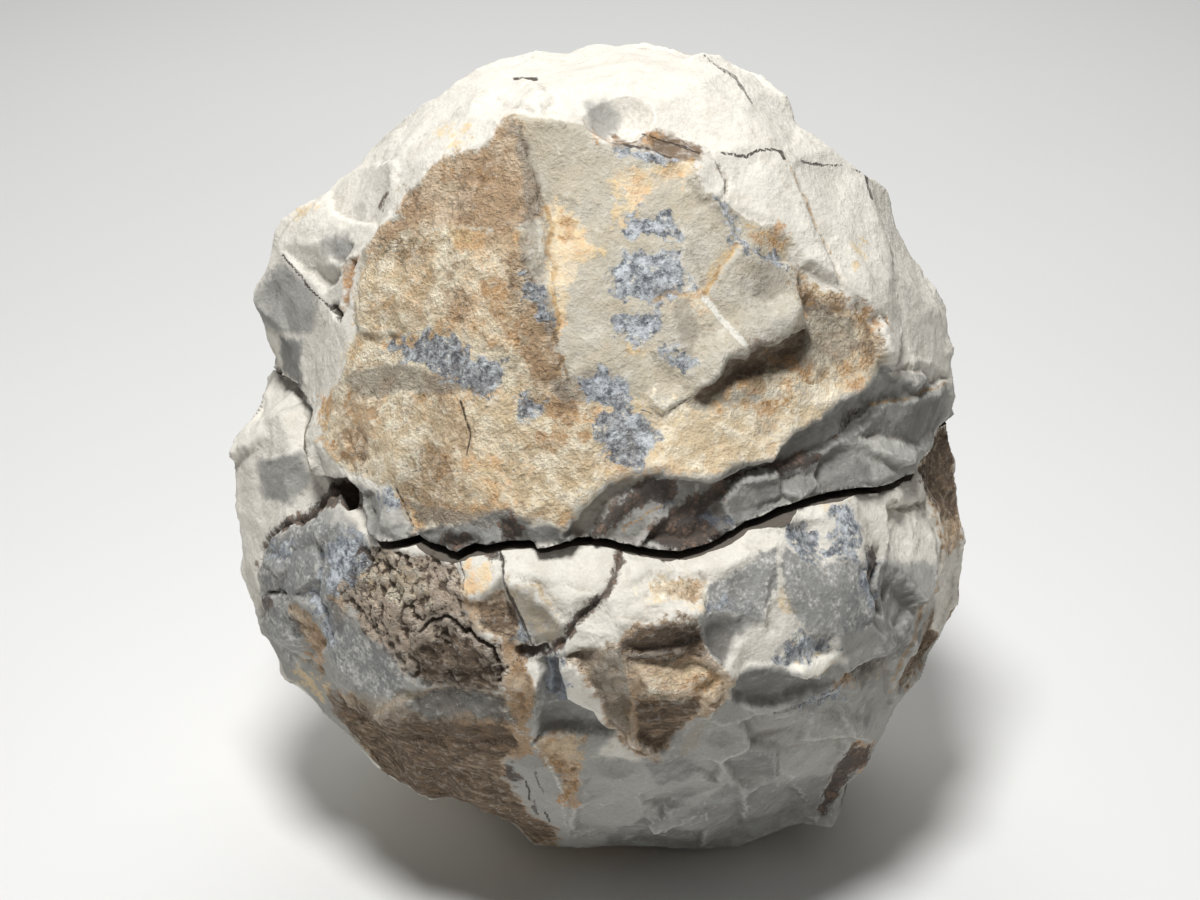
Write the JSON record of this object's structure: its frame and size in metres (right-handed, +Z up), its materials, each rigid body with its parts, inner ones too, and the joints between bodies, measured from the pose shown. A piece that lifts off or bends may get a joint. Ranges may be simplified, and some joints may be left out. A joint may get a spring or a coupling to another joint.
{
  "type": "geode",
  "caption": "Chalky, broken nodule of a closed geode, split across the middle, its upper half resting on its lower half, standing on a small flat spot.",
  "frame": {"origin": "centre of the bounding box at its lowest level, which is the plane of the small flat spot that the stone rests on", "axes": "+Z up through the stone, -Y towards the side with the broad flat panel, +X to the right as that side is seen"},
  "size_m": [0.1823, 0.1924, 0.1964],
  "materials": {
    "upper_half": "chalky, matt, with a tan crust, ochre stains and blue-grey crystal patches",
    "lower_half": "chalky, matt, freshly broken, with brown pitted mass and blue-grey crystal patches"
  },
  "bodies": {
    "root": {"upper_half": "upper_half", "lower_half": "lower_half"}
  },
  "joints": []
}
